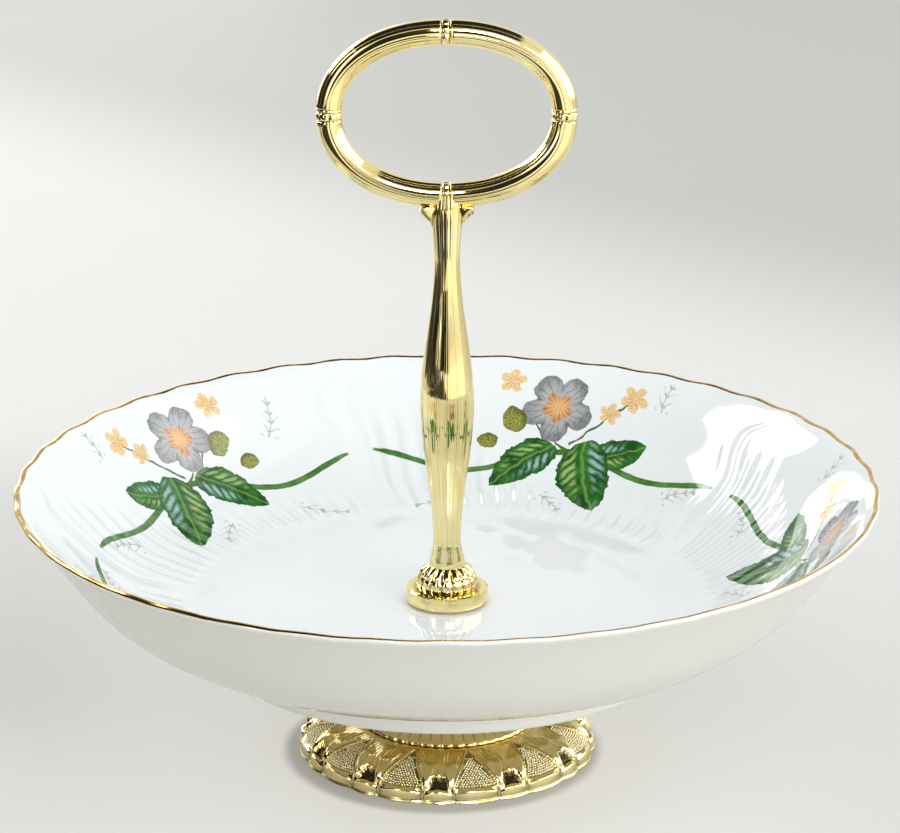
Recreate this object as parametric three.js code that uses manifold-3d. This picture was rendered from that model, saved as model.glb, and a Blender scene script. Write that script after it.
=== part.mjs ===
// Footed nut dish: a porcelain bowl clamped between a gilt loop handle and a gilt embossed foot.
// Millimetres, +Z up. The origin is the middle of the face that the foot stands on.
// The handle's loop lies in the XZ plane, and -Y is the dish's front.
import * as THREE from "three";
import { mergeVertices } from "three/addons/utils/BufferGeometryUtils.js";
import Module from "manifold-3d";

const wasm = await Module();
wasm.setup();

// Threaded rod and the hardware on it
const rodRadius = 2;
const screwGap = 0.3; // radial gap between the rod and every piece that it passes through or screws into
const rodIntoHandle = 11.4; // how far the rod reaches into the stem
const rodEndGap = 0.8; // from the rod's top to the bottom of the tapped hole
const rodBelowNut = 0.8;
const nutAcrossFlats = 7;
const nutHeight = 3.2;
const lockWasherRadius = 3.9;
const lockWasherHeight = 1;
const lockWasherSlit = 0.9;
const flatWasherRadius = 5.5;
const flatWasherHeight = 0.8;

// Foot: the embossed skirt with a flat web in its middle
const footRadius = 38.7;
const footHeight = 8.6; // from the table to the web's top
const footWall = 1.6;
const footLipRadius = 37.6; // outside of the flat ring that the foot stands on
const footLipWidth = 1.7;
const petals = 12; // each petal panel is followed by a wider pebbled panel
const petalSteps = 4;
const pebbledSteps = 6;
const footShoulder = 1; // the flat web runs this far past the seat cup
const footWidestLevel = 2;
const footTurnIn = 0.8; // height where the skirt starts to turn in to its lip
const footNotch = 0.55; // how far the outline draws in between two panels
const panelCrown = 0.5; // how much each panel is crowned

// Seat cup: the fluted drum that stands on the foot and carries the bowl
const cupHeight = 26;
const cupBaseRadius = 23;
const cupLipHeight = 1.1;
const cupWaistRadius = 17.5;
const cupTopRadius = 21;
const cupWall = 1.5;
const cupRibs = 48;
const cupRibDepth = 0.45;
const cupSeatWidth = 1.6; // how much wider the cup's foot is than its wall
const cupWaistAt = 0.42; // share of the cup's height where its waist starts
const cupFlareAt = 0.76; // share of the cup's height where it starts to flare

// Soft washers above and below the bowl
const lowerPadRadius = 19;
const lowerPadHeight = 0.6;
const topPadRadius = 9.2;
const topPadHeight = 0.6;

// Bowl
const bowlRadius = 108.5;
const bowlDepth = 33; // from the rim down to the floor
const rimEdgeDrop = 0.8; // the rim's outside edge lies this far below its top
const rimInsideDrop = 0.45;
const floorThickness = 4.3;
const rimThickness = 1.9;
const rodHoleRadius = 3.2;
const footRingRadius = 60;
const footRingWidth = 3.2;
const footRingDrop = 6.8; // from the floor's underside to the foot ring's edge
const footRingRise = 4.9; // height of the foot ring's outside
const footRingRound = 0.6; // rounding of the edge that the foot ring ends in
const bellySlope = 15.7; // degrees, where the wall leaves the foot ring
const bellyReach = 36.1;
const rimSlope = 48.1; // degrees, where the wall meets the rim
const rimReach = 23.2;
const rimLobes = 42;
const rimLobeOut = 0.18;
const rimLobeUp = 0.15;
const rimLobeFade = 13; // the lobes fade out over this height below the rim

// Base disc and collar under the stem
const discRadius = 10.4;
const discHeight = 3.7;
const discRecess = 0.35; // the collar sits this far below the disc's edge
const discRound = 0.5; // rounding of the disc's top edge
const collarRadius = 7.85;
const collarHeight = 6.2;
const collarWidestLevel = 1.7; // above the collar's underside
const collarBeadHeight = 2.8; // height of the rounded top part
const collarLobes = 16;
const collarLobeDepth = 0.55;

// Stem
const stemHeight = 93.3; // from the collar to the loop's underside
const stemEndRadius = 4.6;
const stemWaistRadius = 3.5;
const stemBellyRadius = 6.78;
const stemNeckRadius = 3.2;
const stemTopRadius = 3.9;
const stemReeds = 16;
const stemReedDepth = 0.25;

// Loop
const loopWidth = 63.8;
const loopHeight = 46.8;
const loopFullness = 2.12; // 2 gives an ellipse, and more gives fuller corners
const loopStock = 6.4;
const loopReeds = 8;
const loopReedDepth = 0.25;
const loopTieWidth = 2.8;
const loopTieRise = 0.12;
const leafReach = 6.9; // from the stem's axis to the leaf's tip
const leafDrop = 6.2; // how far the leaf runs down the stem
const leafThickness = 4.2;

// Heights of the stack, from the table up
const webUnderside = footHeight - footWall;
const padSeat = footHeight + cupHeight;
const bowlUnderside = padSeat + lowerPadHeight;
const floorLevel = bowlUnderside + floorThickness;
const rimLevel = floorLevel + bowlDepth;
const footRingEdge = bowlUnderside - footRingDrop;
const discLevel = floorLevel + topPadHeight;
const collarLevel = discLevel + discHeight - discRecess;
const stemLevel = collarLevel + collarHeight;
const loopBottom = stemLevel + stemHeight;
const loopCentre = loopBottom + loopHeight / 2;
const clearBore = rodRadius + screwGap;

const gilt = { color: 0xe8d79a, roughness: 0.12, metalness: 1 };
const porcelain = { color: 0xeef1f2, roughness: 0.08, metalness: 0 };
const steel = { color: 0xb4b5b2, roughness: 0.35, metalness: 1 };
const softWasher = { color: 0xd9d6cc, roughness: 0.8, metalness: 0 };

// A rise from 0 to 1 between two values, flat at both ends
function ease(value, low, high) {
  return THREE.MathUtils.smoothstep(value, low, high);
}

// An outline of [radius, height] points spun about the upright axis.
// It closes on itself, or starts and ends on the axis. Its outer side runs upwards.
function spin(outline, sides) {
  const points = outline.map(([radius, height]) => new THREE.Vector2(radius, height));
  if (points[0].x > 0) points.push(points[0].clone());
  return new THREE.LatheGeometry(points, sides).rotateX(Math.PI / 2);
}

// Moves the points of a spun shape. The rule turns a radius, an angle from the front and a height
// into a new radius and height.
function reshape(geometry, rule) {
  const place = geometry.attributes.position;
  for (let i = 0; i < place.count; i++) {
    const radius = Math.hypot(place.getX(i), place.getY(i));
    const angle = Math.atan2(place.getX(i), -place.getY(i));
    const [newRadius, newHeight] = rule(radius, angle, place.getZ(i));
    place.setXYZ(i, newRadius * Math.sin(angle), -newRadius * Math.cos(angle), newHeight);
  }
  return geometry;
}

// Depth of a groove between rounded ribs: 0 on a rib's crest and 1 halfway between two ribs
function grooveAt(angle, ribs) {
  return 0.5 - 0.5 * Math.cos(ribs * angle);
}

function toSolid(geometry) {
  const bare = geometry.clone();
  bare.deleteAttribute("normal");
  bare.deleteAttribute("uv");
  const merged = mergeVertices(bare, 1e-4);
  const vertProperties = merged.attributes.position.array;
  const triVerts = new Uint32Array(merged.index.array);
  return new wasm.Manifold(new wasm.Mesh({ numProp: 3, vertProperties, triVerts }));
}

function toGeometry(solid) {
  const mesh = solid.getMesh();
  const geometry = new THREE.BufferGeometry();
  geometry.setAttribute("position", new THREE.BufferAttribute(mesh.vertProperties, mesh.numProp));
  geometry.setIndex(new THREE.BufferAttribute(mesh.triVerts, 1));
  geometry.computeVertexNormals();
  return geometry;
}

// An upright cylinder between two heights
function uprightCylinder(radius, bottom, top, sides) {
  const cylinder = new THREE.CylinderGeometry(radius, radius, top - bottom, sides);
  return cylinder.rotateX(Math.PI / 2).translate(0, 0, (top + bottom) / 2);
}

// A flat ring between two heights
function flatRing(innerRadius, outerRadius, bottom, height, sides) {
  const top = bottom + height;
  const outline = [
    [innerRadius, bottom],
    [outerRadius, bottom],
    [outerRadius, top],
    [innerRadius, top],
  ];
  return spin(outline, sides);
}

function threadedRod() {
  const bottom = webUnderside - flatWasherHeight - lockWasherHeight - nutHeight - rodBelowNut;
  return uprightCylinder(rodRadius, bottom, stemLevel + rodIntoHandle, 16);
}

function flatWasher() {
  return flatRing(clearBore, flatWasherRadius, webUnderside - flatWasherHeight, flatWasherHeight, 32);
}

// A spring washer: a flat ring with one slit
function lockWasher() {
  const bottom = webUnderside - flatWasherHeight - lockWasherHeight;
  const ring = flatRing(clearBore, lockWasherRadius, bottom, lockWasherHeight, 24);
  const slit = new THREE.BoxGeometry(2 * lockWasherRadius, lockWasherSlit, 3 * lockWasherHeight);
  slit.translate(lockWasherRadius, 0, bottom + lockWasherHeight / 2);
  return toGeometry(toSolid(ring).subtract(toSolid(slit)));
}

function nut() {
  const cornerRadius = nutAcrossFlats / Math.sqrt(3);
  const hexagon = new THREE.Shape();
  for (let corner = 0; corner < 6; corner++) {
    const angle = (corner * Math.PI) / 3;
    const point = [cornerRadius * Math.cos(angle), cornerRadius * Math.sin(angle)];
    if (corner === 0) hexagon.moveTo(...point);
    else hexagon.lineTo(...point);
  }
  hexagon.closePath();
  hexagon.holes.push(new THREE.Path().absarc(0, 0, clearBore, 0, 2 * Math.PI, true));
  const settings = { depth: nutHeight, bevelEnabled: false, curveSegments: 16 };
  const top = webUnderside - flatWasherHeight - lockWasherHeight;
  return new THREE.ExtrudeGeometry(hexagon, settings).translate(0, 0, top - nutHeight);
}

// Place across one panel of the foot, from -1 at one edge to 1 at the other
function acrossPanel(angle) {
  const pair = petalSteps + pebbledSteps;
  const turn = angle / (2 * Math.PI) + 1;
  const step = (turn * petals * pair + petalSteps / 2) % pair;
  if (step < petalSteps) return (2 * step) / petalSteps - 1;
  return (2 * (step - petalSteps)) / pebbledSteps - 1;
}

// The skirt slopes out from the web, rounds over at its widest and turns in to a flat standing ring.
function foot() {
  const shoulder = cupBaseRadius + footShoulder;
  const lipInside = footLipRadius - footLipWidth;
  const outline = [
    [clearBore, webUnderside],
    [cupBaseRadius, webUnderside],
    [shoulder + 6, webUnderside - 1.3],
    [footRadius - 4.6, 3.2],
    [lipInside, 1.2],
    [lipInside, 0],
    [footLipRadius, 0],
    [footRadius - 0.3, footTurnIn],
    [footRadius, footWidestLevel],
    [footRadius - 0.9, 3.6],
    [footRadius - 3.6, 5.3],
    [footRadius - 7.6, 6.9],
    [shoulder + 2.6, 8.1],
    [shoulder, footHeight],
    [clearBore, footHeight],
  ];
  const sides = petals * (petalSteps + pebbledSteps);
  return reshape(spin(outline, sides), (radius, angle, height) => {
    const edge = acrossPanel(angle) ** 2;
    const outward = ease(radius, shoulder + 2, footRadius - 2);
    const onTop = ease(height, 1, 3);
    return [radius - footNotch * edge * outward, height - panelCrown * edge * outward * onTop];
  });
}

// A fluted spool, hollow from below, with a wavy lip where it meets the foot
function seatCup() {
  const top = padSeat;
  const lipTop = footHeight + cupLipHeight;
  const waistLevel = footHeight + cupWaistAt * cupHeight;
  const flareLevel = footHeight + cupFlareAt * cupHeight;
  const outline = [
    [cupBaseRadius - cupWall - cupSeatWidth, footHeight],
    [cupBaseRadius, footHeight],
    [cupBaseRadius, lipTop],
    [cupBaseRadius - 1.5, lipTop + 0.9],
    [cupWaistRadius + 1.9, footHeight + 0.22 * cupHeight],
    [cupWaistRadius, waistLevel],
    [cupWaistRadius + 0.6, flareLevel],
    [cupTopRadius, top - 1.6],
    [cupTopRadius, top],
    [clearBore, top],
    [clearBore, top - cupWall],
    [cupWaistRadius - 0.8, top - cupWall],
    [cupWaistRadius - cupWall, flareLevel],
    [cupWaistRadius - cupWall, waistLevel],
  ];
  return reshape(spin(outline, 2 * cupRibs), (radius, angle, height) => {
    const outside = radius > cupWaistRadius - 0.1 && height > footHeight && height < top;
    return [radius - (outside ? cupRibDepth * grooveAt(angle, cupRibs) : 0), height];
  });
}

// The wall's outside is one curve from the foot ring to the rim. Its inside runs alongside, a wall
// away, from the rim down to where it meets the floor.
function bowl() {
  const belly = THREE.MathUtils.degToRad(bellySlope);
  const lean = THREE.MathUtils.degToRad(rimSlope);
  const edge = new THREE.Vector2(bowlRadius, rimLevel - rimEdgeDrop);
  const outside = new THREE.CubicBezierCurve(
    new THREE.Vector2(footRingRadius, footRingEdge + footRingRise),
    new THREE.Vector2(
      footRingRadius + bellyReach * Math.cos(belly),
      footRingEdge + footRingRise + bellyReach * Math.sin(belly),
    ),
    new THREE.Vector2(edge.x - rimReach * Math.cos(lean), edge.y - rimReach * Math.sin(lean)),
    edge,
  );
  const outer = outside.getSpacedPoints(8);
  const inner = outer.map((point, i) => {
    const along = outside.getTangentAt(i / 8);
    const wall = THREE.MathUtils.lerp(floorThickness, rimThickness, i / 8);
    return new THREE.Vector2(point.x - wall * along.y, point.y + wall * along.x);
  });
  const insideEdge = rimLevel - rimInsideDrop;
  const innerWall = inner.reverse().filter(({ y }) => y > floorLevel + 0.6 && y < insideEdge);
  const ringInside = footRingRadius - footRingWidth;
  const floorEdge = innerWall.at(-1).x - 5;
  const outline = [
    [rodHoleRadius, bowlUnderside],
    [ringInside - 1.5, bowlUnderside],
    [ringInside, bowlUnderside - 1.5],
    [ringInside + 0.4, footRingEdge],
    [footRingRadius - footRingRound, footRingEdge],
    [footRingRadius, footRingEdge + footRingRound],
    ...outer.map((point) => point.toArray()),
    [bowlRadius - 0.7, rimLevel],
    [bowlRadius - rimThickness, insideEdge],
    ...innerWall.map((point) => point.toArray()),
    [floorEdge, floorLevel],
    [rodHoleRadius, floorLevel],
  ];
  return reshape(spin(outline, 2 * rimLobes), (radius, angle, height) => {
    const near = ease(height, rimLevel - rimLobeFade, rimLevel);
    const lobe = Math.cos(rimLobes * angle) * near;
    return [radius + rimLobeOut * lobe, height + rimLobeUp * (lobe - near)];
  });
}

// A low flange, dished so that the collar sits a little below its edge
function baseDisc() {
  const outline = [
    [clearBore, discLevel],
    [discRadius - 0.3, discLevel],
    [discRadius, discLevel + 0.3],
    [discRadius, discLevel + discHeight - discRound],
    [discRadius - discRound, discLevel + discHeight],
    [collarRadius + 0.5, collarLevel],
    [clearBore, collarLevel],
  ];
  return spin(outline, 48);
}

// A ring of upright lobes with rounded tops
function collar() {
  const beadLevel = collarLevel + collarHeight - collarBeadHeight;
  const outline = [
    [clearBore, collarLevel],
    [collarRadius - 0.2, collarLevel],
    [collarRadius, collarLevel + collarWidestLevel],
    [collarRadius - 0.5, beadLevel],
    [collarRadius - 1.3, beadLevel + 0.5 * collarBeadHeight],
    [collarRadius - 2.3, beadLevel + 0.87 * collarBeadHeight],
    [stemEndRadius, stemLevel],
    [clearBore, stemLevel],
  ];
  return reshape(spin(outline, 2 * collarLobes), (radius, angle, height) => {
    const outside = ease(radius, clearBore, collarRadius - 1.8);
    return [radius - collarLobeDepth * outside * grooveAt(angle, collarLobes), height];
  });
}

// The stem's radius at a share of its height: it swells from the waist to the belly and narrows again
// to the neck under the loop.
function stemRadius(share) {
  const waistAt = 0.07;
  const bellyAt = 0.46;
  const neckAt = 0.86;
  const swell = (from, to, start, end) => THREE.MathUtils.lerp(from, to, ease(share, start, end));
  if (share < waistAt) return swell(stemEndRadius, stemWaistRadius, 0, waistAt);
  if (share < bellyAt) return swell(stemWaistRadius, stemBellyRadius, waistAt, bellyAt);
  if (share < neckAt) return swell(stemBellyRadius, stemNeckRadius, bellyAt, neckAt);
  return swell(stemNeckRadius, stemTopRadius, neckAt, 1);
}

// The reeded stem, run a little into the loop so that the two join
function stem() {
  const rings = 18;
  const outline = [[0, stemLevel]];
  for (let ring = 0; ring <= rings; ring++) {
    const share = ring / rings;
    outline.push([stemRadius(share), stemLevel + share * (stemHeight + loopStock / 2)]);
  }
  outline.push([0, stemLevel + stemHeight + loopStock / 2]);
  return reshape(spin(outline, 2 * stemReeds), (radius, angle, height) => {
    const depth = radius > 0 ? stemReedDepth : 0;
    return [radius - depth * grooveAt(angle, stemReeds), height];
  });
}

// A power that keeps the value's sign
function signedPower(value, power) {
  return Math.sign(value) * Math.abs(value) ** power;
}

// The loop's stock is a bundle of reeds, carried round an oval. A rise makes it fatter, for the ties.
function loop(rise) {
  const full = 2 / loopFullness;
  const stockRadius = loopStock / 2;
  const halfWidth = loopWidth / 2 - stockRadius;
  const halfHeight = loopHeight / 2 - stockRadius;
  const section = [];
  for (let i = 0; i < 2 * loopReeds; i++) {
    const angle = (i * Math.PI) / loopReeds;
    const reach = stockRadius + rise - (i % 2 ? 0 : loopReedDepth);
    section.push(new THREE.Vector2(halfWidth + reach * Math.cos(angle), reach * Math.sin(angle)));
  }
  section.push(section[0].clone());
  const geometry = new THREE.LatheGeometry(section, 48);
  const place = geometry.attributes.position;
  for (let i = 0; i < place.count; i++) {
    const offset = Math.hypot(place.getX(i), place.getZ(i)) - halfWidth;
    const angle = Math.atan2(place.getX(i), place.getZ(i));
    const across = Math.sin(angle);
    const up = Math.cos(angle);
    const outward = new THREE.Vector2(
      halfHeight * signedPower(across, 2 - full),
      halfWidth * signedPower(up, 2 - full),
    );
    outward.setLength(1).multiplyScalar(offset);
    place.setX(i, halfWidth * signedPower(across, full) + outward.x);
    place.setZ(i, halfHeight * signedPower(up, full) + outward.y);
  }
  return geometry.translate(0, 0, loopCentre);
}

// The blocks that cut the four ties out of the fatter loop
function tieBlocks() {
  const deep = 3 * loopStock;
  const upright = (height) => {
    return new THREE.BoxGeometry(loopTieWidth, deep, deep).translate(0, 0, height);
  };
  const level = (side) => {
    const across = (side * loopWidth) / 2;
    return new THREE.BoxGeometry(deep, deep, loopTieWidth).translate(across, 0, loopCentre);
  };
  return [upright(loopBottom), upright(loopBottom + loopHeight), level(-1), level(1)];
}

// One leaf bracket between the stem and the loop, on the right (side 1) or the left (side -1)
function leaf(side) {
  const into = loopStock / 2;
  const outline = new THREE.Shape();
  outline.moveTo(0, -leafDrop);
  outline.lineTo(stemNeckRadius - 0.4, -leafDrop);
  outline.quadraticCurveTo(stemNeckRadius + 0.9, -0.55 * leafDrop, leafReach - 0.5, -0.24 * leafDrop);
  outline.quadraticCurveTo(leafReach + 0.2, 0, leafReach - 1, 0.8);
  outline.lineTo(leafReach - 2.2, into);
  outline.lineTo(0, into);
  outline.closePath();
  const settings = { depth: leafThickness, bevelEnabled: false, curveSegments: 4 };
  const geometry = new THREE.ExtrudeGeometry(outline, settings);
  geometry.translate(0, 0, -leafThickness / 2).rotateX(Math.PI / 2);
  if (side < 0) geometry.rotateZ(Math.PI);
  return geometry.translate(0, 0, loopBottom);
}

// Loop, ties, leaves and stem are one casting, tapped from below for the rod.
function handle() {
  let casting = toSolid(loop(0));
  const fatter = toSolid(loop(loopTieRise));
  for (const block of tieBlocks()) casting = casting.add(fatter.intersect(toSolid(block)));
  casting = casting.add(toSolid(stem()));
  for (const side of [-1, 1]) casting = casting.add(toSolid(leaf(side)));
  const holeTop = stemLevel + rodIntoHandle + rodEndGap;
  const hole = uprightCylinder(clearBore, stemLevel - 1, holeTop, 16);
  return toGeometry(casting.subtract(toSolid(hole)));
}

const dish = new THREE.Group();

function addPiece(name, geometry, finish) {
  const piece = new THREE.Mesh(geometry, new THREE.MeshStandardMaterial(finish));
  piece.name = name;
  dish.add(piece);
}

addPiece("foot", foot(), gilt);
addPiece("seat_cup", seatCup(), gilt);
const lowerPad = flatRing(clearBore, lowerPadRadius, padSeat, lowerPadHeight, 32);
addPiece("lower_pad", lowerPad, softWasher);
addPiece("bowl", bowl(), porcelain);
addPiece("top_pad", flatRing(clearBore, topPadRadius, floorLevel, topPadHeight, 32), softWasher);
addPiece("base_disc", baseDisc(), gilt);
addPiece("lobed_collar", collar(), gilt);
addPiece("handle", handle(), gilt);
addPiece("threaded_rod", threadedRod(), steel);
addPiece("flat_washer", flatWasher(), steel);
addPiece("lock_washer", lockWasher(), steel);
addPiece("nut", nut(), steel);

export default dish;
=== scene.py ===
# %% [markdown]
# # A footed nut dish in Blender
# The real dish is a glazed porcelain bowl with a gilt rim, clamped between an embossed gilt foot
# and a tall gilt loop handle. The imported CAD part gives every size. Here each visible piece is made
# again with the detail that the solids leave out, and gets its finish.

# %% Load the frame
import math
import bpy
import numpy as np
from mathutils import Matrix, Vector


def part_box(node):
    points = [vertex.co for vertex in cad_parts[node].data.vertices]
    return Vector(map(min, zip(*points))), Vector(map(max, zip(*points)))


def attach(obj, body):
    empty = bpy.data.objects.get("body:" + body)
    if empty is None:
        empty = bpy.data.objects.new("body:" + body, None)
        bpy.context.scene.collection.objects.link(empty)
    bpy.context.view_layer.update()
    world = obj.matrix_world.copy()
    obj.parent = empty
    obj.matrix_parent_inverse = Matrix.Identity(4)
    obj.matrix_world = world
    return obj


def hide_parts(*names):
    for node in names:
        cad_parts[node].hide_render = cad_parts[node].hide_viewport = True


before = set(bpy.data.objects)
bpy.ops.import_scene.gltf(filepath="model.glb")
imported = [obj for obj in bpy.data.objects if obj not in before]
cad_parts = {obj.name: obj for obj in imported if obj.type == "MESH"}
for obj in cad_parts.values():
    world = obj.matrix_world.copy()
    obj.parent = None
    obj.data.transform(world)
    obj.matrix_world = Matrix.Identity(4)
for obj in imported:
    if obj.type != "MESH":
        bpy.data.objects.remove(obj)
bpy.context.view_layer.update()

# %% [markdown]
# The bowl's height, the foot ring and the other levels are read from the CAD nodes, so that the
# fine pieces sit exactly where the solids are. Lengths are written in millimetres and turned into
# metres at the end.

# %% Levels
mm = 0.001
full_turn = 2 * math.pi


def low(node):
    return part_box(node)[0].z / mm


def high(node):
    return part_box(node)[1].z / mm


rim_level = high("bowl")
floor_level = low("top_pad")
bowl_underside = high("lower_pad")
ring_edge = low("bowl")
print("rim", round(rim_level, 2), "floor", round(floor_level, 2), "foot ring", round(ring_edge, 2))

# %% [markdown]
# Most pieces of the dish are turned or pressed round one axis. This helper starts from a small
# plane, merges it to one point, extrudes that point along an outline and spins the line round the
# upright axis.

# %% Turning


def new_piece(name, add, **settings):
    bpy.ops.object.select_all(action="DESELECT")
    add(**settings)
    piece = bpy.context.object
    piece.name = piece.data.name = name
    return piece


def enter_edit():
    bpy.ops.object.mode_set(mode="EDIT")
    bpy.ops.mesh.select_mode(type="VERT")
    bpy.ops.mesh.select_all(action="SELECT")


def above(level, side):
    """Points of an outline whose heights are counted from a level."""
    return [(r, level + up_by) for r, up_by in side]


def draw_outline(name, outline):
    """A new piece that is one line along (radius, height) points, left in edit mode."""
    piece = new_piece(name, bpy.ops.mesh.primitive_plane_add, size=0.1 * mm)
    enter_edit()
    bpy.ops.mesh.merge(type="CENTER")
    points = [(x * mm, 0, z * mm) for x, z in outline]
    bpy.ops.transform.translate(value=points[0])
    for here, there in zip(points, points[1:]):
        step = [b - a for a, b in zip(here, there)]
        bpy.ops.mesh.extrude_region_move(TRANSFORM_OT_translate={"value": step})
    bpy.ops.mesh.select_all(action="SELECT")
    return piece


def leave_edit(merge=0.0):
    """Merges corners that lie together, turns every face outward and leaves edit mode."""
    bpy.ops.mesh.select_all(action="SELECT")
    if merge:
        bpy.ops.mesh.remove_doubles(threshold=merge * mm)
    bpy.ops.mesh.normals_make_consistent(inside=False)
    bpy.ops.object.mode_set(mode="OBJECT")


def turn(name, outline, steps, smooth=40):
    """Spins an outline into a closed piece. It ends where it starts, or on the axis."""
    piece = draw_outline(name, outline)
    bpy.ops.mesh.spin(steps=steps, angle=full_turn, center=(0, 0, 0), axis=(0, 0, 1))
    leave_edit(merge=0.002)
    bpy.ops.object.shade_smooth_by_angle(angle=math.radians(smooth))
    return piece


# %% [markdown]
# Spun pieces get their flutes, lobes and embossing by moving their corners. These helpers read and
# write the corners in millimetres, and give a finished piece its material and the root body, and
# hide the CAD node that it stands for.

# %% Corners


def points_of(piece):
    """The corners in millimetres."""
    flat = np.zeros(len(piece.data.vertices) * 3)
    piece.data.vertices.foreach_get("co", flat)
    return flat.reshape(-1, 3) / mm


def polar(piece):
    """The corners, their distances from the axis and their angles from the front."""
    points = points_of(piece)
    return points, np.hypot(points[:, 0], points[:, 1]), np.arctan2(points[:, 0], -points[:, 1])


def place_points(piece, points):
    piece.data.vertices.foreach_set("co", (points * mm).ravel())
    piece.data.update()


def ramp(value, start, end):
    """A smooth rise from 0 to 1."""
    t = np.clip((value - start) / (end - start), 0, 1)
    return t * t * (3 - 2 * t)


def done(piece, body_node, material):
    """Gives a piece its material and the root body, and hides the CAD node that it stands for."""
    piece.data.materials.clear()
    piece.data.materials.append(material)
    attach(piece, "root")
    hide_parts(body_node)
    print(piece.name, len(piece.data.polygons), "faces")


# %% [markdown]
# Materials are written as formulas. This class wraps a shader socket, so that the arithmetic signs
# build Math nodes.

# %% Shader arithmetic


def alone(operation):
    """A method that sends one value through a Math node."""
    return lambda value: value.math(operation, value)


def both(operation):
    """A method that joins two values in a Math node."""
    return lambda value, other: value.math(operation, value, other)


def feed(tree, slot, item):
    """Fills a socket with a formula, a colour or a number."""
    if isinstance(item, Value):
        tree.links.new(item.socket, slot)
    else:
        slot.default_value = (*item, 1) if isinstance(item, (tuple, list)) else item


class Value:
    def __init__(self, tree, socket):
        self.tree, self.socket = tree, socket

    def math(self, operation, *inputs):
        node = self.tree.nodes.new("ShaderNodeMath")
        node.operation = operation
        for slot, item in zip(node.inputs, inputs):
            feed(self.tree, slot, item)
        return Value(self.tree, node.outputs[0])

    __add__ = __radd__ = both("ADD")
    __mul__ = __rmul__ = both("MULTIPLY")
    __sub__, __truediv__, __pow__ = both("SUBTRACT"), both("DIVIDE"), both("POWER")
    least, most = both("MINIMUM"), both("MAXIMUM")
    __abs__, floor, sqrt = alone("ABSOLUTE"), alone("FLOOR"), alone("SQRT")
    sin, cos = alone("SINE"), alone("COSINE")

    def __rsub__(self, number):
        return self.math("SUBTRACT", number, self)

    def fraction(self):
        return self - self.floor()

    def angle_to(self, other):
        """The angle of the direction (self, other), measured from self's axis."""
        return self.math("ARCTAN2", other, self)

    def step(self, start, end):
        """0 at start and 1 at end, smooth in between. The end may lie below the start."""
        node = self.tree.nodes.new("ShaderNodeMapRange")
        node.interpolation_type = "SMOOTHSTEP"
        for key, item in zip(("Value", "From Min", "From Max"), (self, *sorted((start, end)))):
            feed(self.tree, node.inputs[key], item)
        result = Value(self.tree, node.outputs["Result"])
        return result if start < end else 1 - result


# %% [markdown]
# A finish is a material with a Principled shader. What is the same everywhere is set on the shader
# itself, and what varies is linked to it as a formula.

# %% Finishes


class Finish:
    def __init__(self, name, **constants):
        self.material = bpy.data.materials.new(name)
        self.material.use_nodes = True
        self.tree = self.material.node_tree
        self.shader = self.tree.nodes["Principled BSDF"]
        self.set(**constants)

    def node(self, kind, output, inputs=(), **settings):
        """One output of a new node. Its inputs are given by name or by number."""
        made = self.tree.nodes.new("ShaderNode" + kind)
        for key, setting in settings.items():
            setattr(made, key, setting)
        for key, item in dict(inputs).items():
            feed(self.tree, made.inputs[key], item)
        return Value(self.tree, made.outputs[output])

    def place(self, kind):
        """Two coordinates, of the Object place in metres or of the UV map."""
        place = self.node("TexCoord", kind)
        return [self.node("SeparateXYZ", axis, {"Vector": place}) for axis in "XY"]

    def noise(self, scale, detail=2.0):
        place = self.node("TexCoord", "Object")
        return self.node("TexNoise", "Fac", {"Vector": place, "Scale": scale, "Detail": detail})

    def mix(self, share, base, other):
        """A colour between two colours. Each is three numbers or a formula."""
        return self.node("Mix", 2, {0: share, 6: base, 7: other}, data_type="RGBA")

    def set(self, **inputs):
        for key, item in inputs.items():
            feed(self.tree, self.shader.inputs[key.replace("_", " ")], item)

    def relief(self, height):
        """Bumps, with their height in millimetres."""
        bump = {"Height": height, "Distance": mm, "Strength": 1.0}
        self.set(Normal=self.node("Bump", "Normal", bump))


# %% [markdown]
# ## The bowl's body
# The two longest outlines, the bowl's wall and the foot's skirt, are each one smooth curve. These
# helpers give its points, and the length and the direction along it.

# %% Curves


def length_along(path):
    """Millimetres along a line of points, at each point."""
    return np.r_[0, np.cumsum(np.hypot(*np.diff(path, axis=0).T))]


def heading(path):
    """The direction of a line of points, at each point."""
    way = np.gradient(path, axis=0)
    return way / np.hypot(*way.T)[:, None]


def curve(a, b, c, d, count):
    """Points along a cubic Bezier curve, evenly spaced by length."""
    t = np.linspace(0, 1, 400)[:, None]
    path = (1 - t) ** 3 * a + 3 * (1 - t) ** 2 * t * b + 3 * (1 - t) * t**2 * c + t**3 * d
    run = length_along(path)
    at = np.linspace(0, run[-1], count)
    return np.c_[np.interp(at, run, path[:, 0]), np.interp(at, run, path[:, 1])]


# %% [markdown]
# The potter's template for the wall is one curve from the foot ring to the rim, and the wall gets
# thinner upwards. The outline is drawn with the same numbers as the CAD, but with more points and
# with the soft roundings that a glaze leaves at the foot ring and at the rim.

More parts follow.
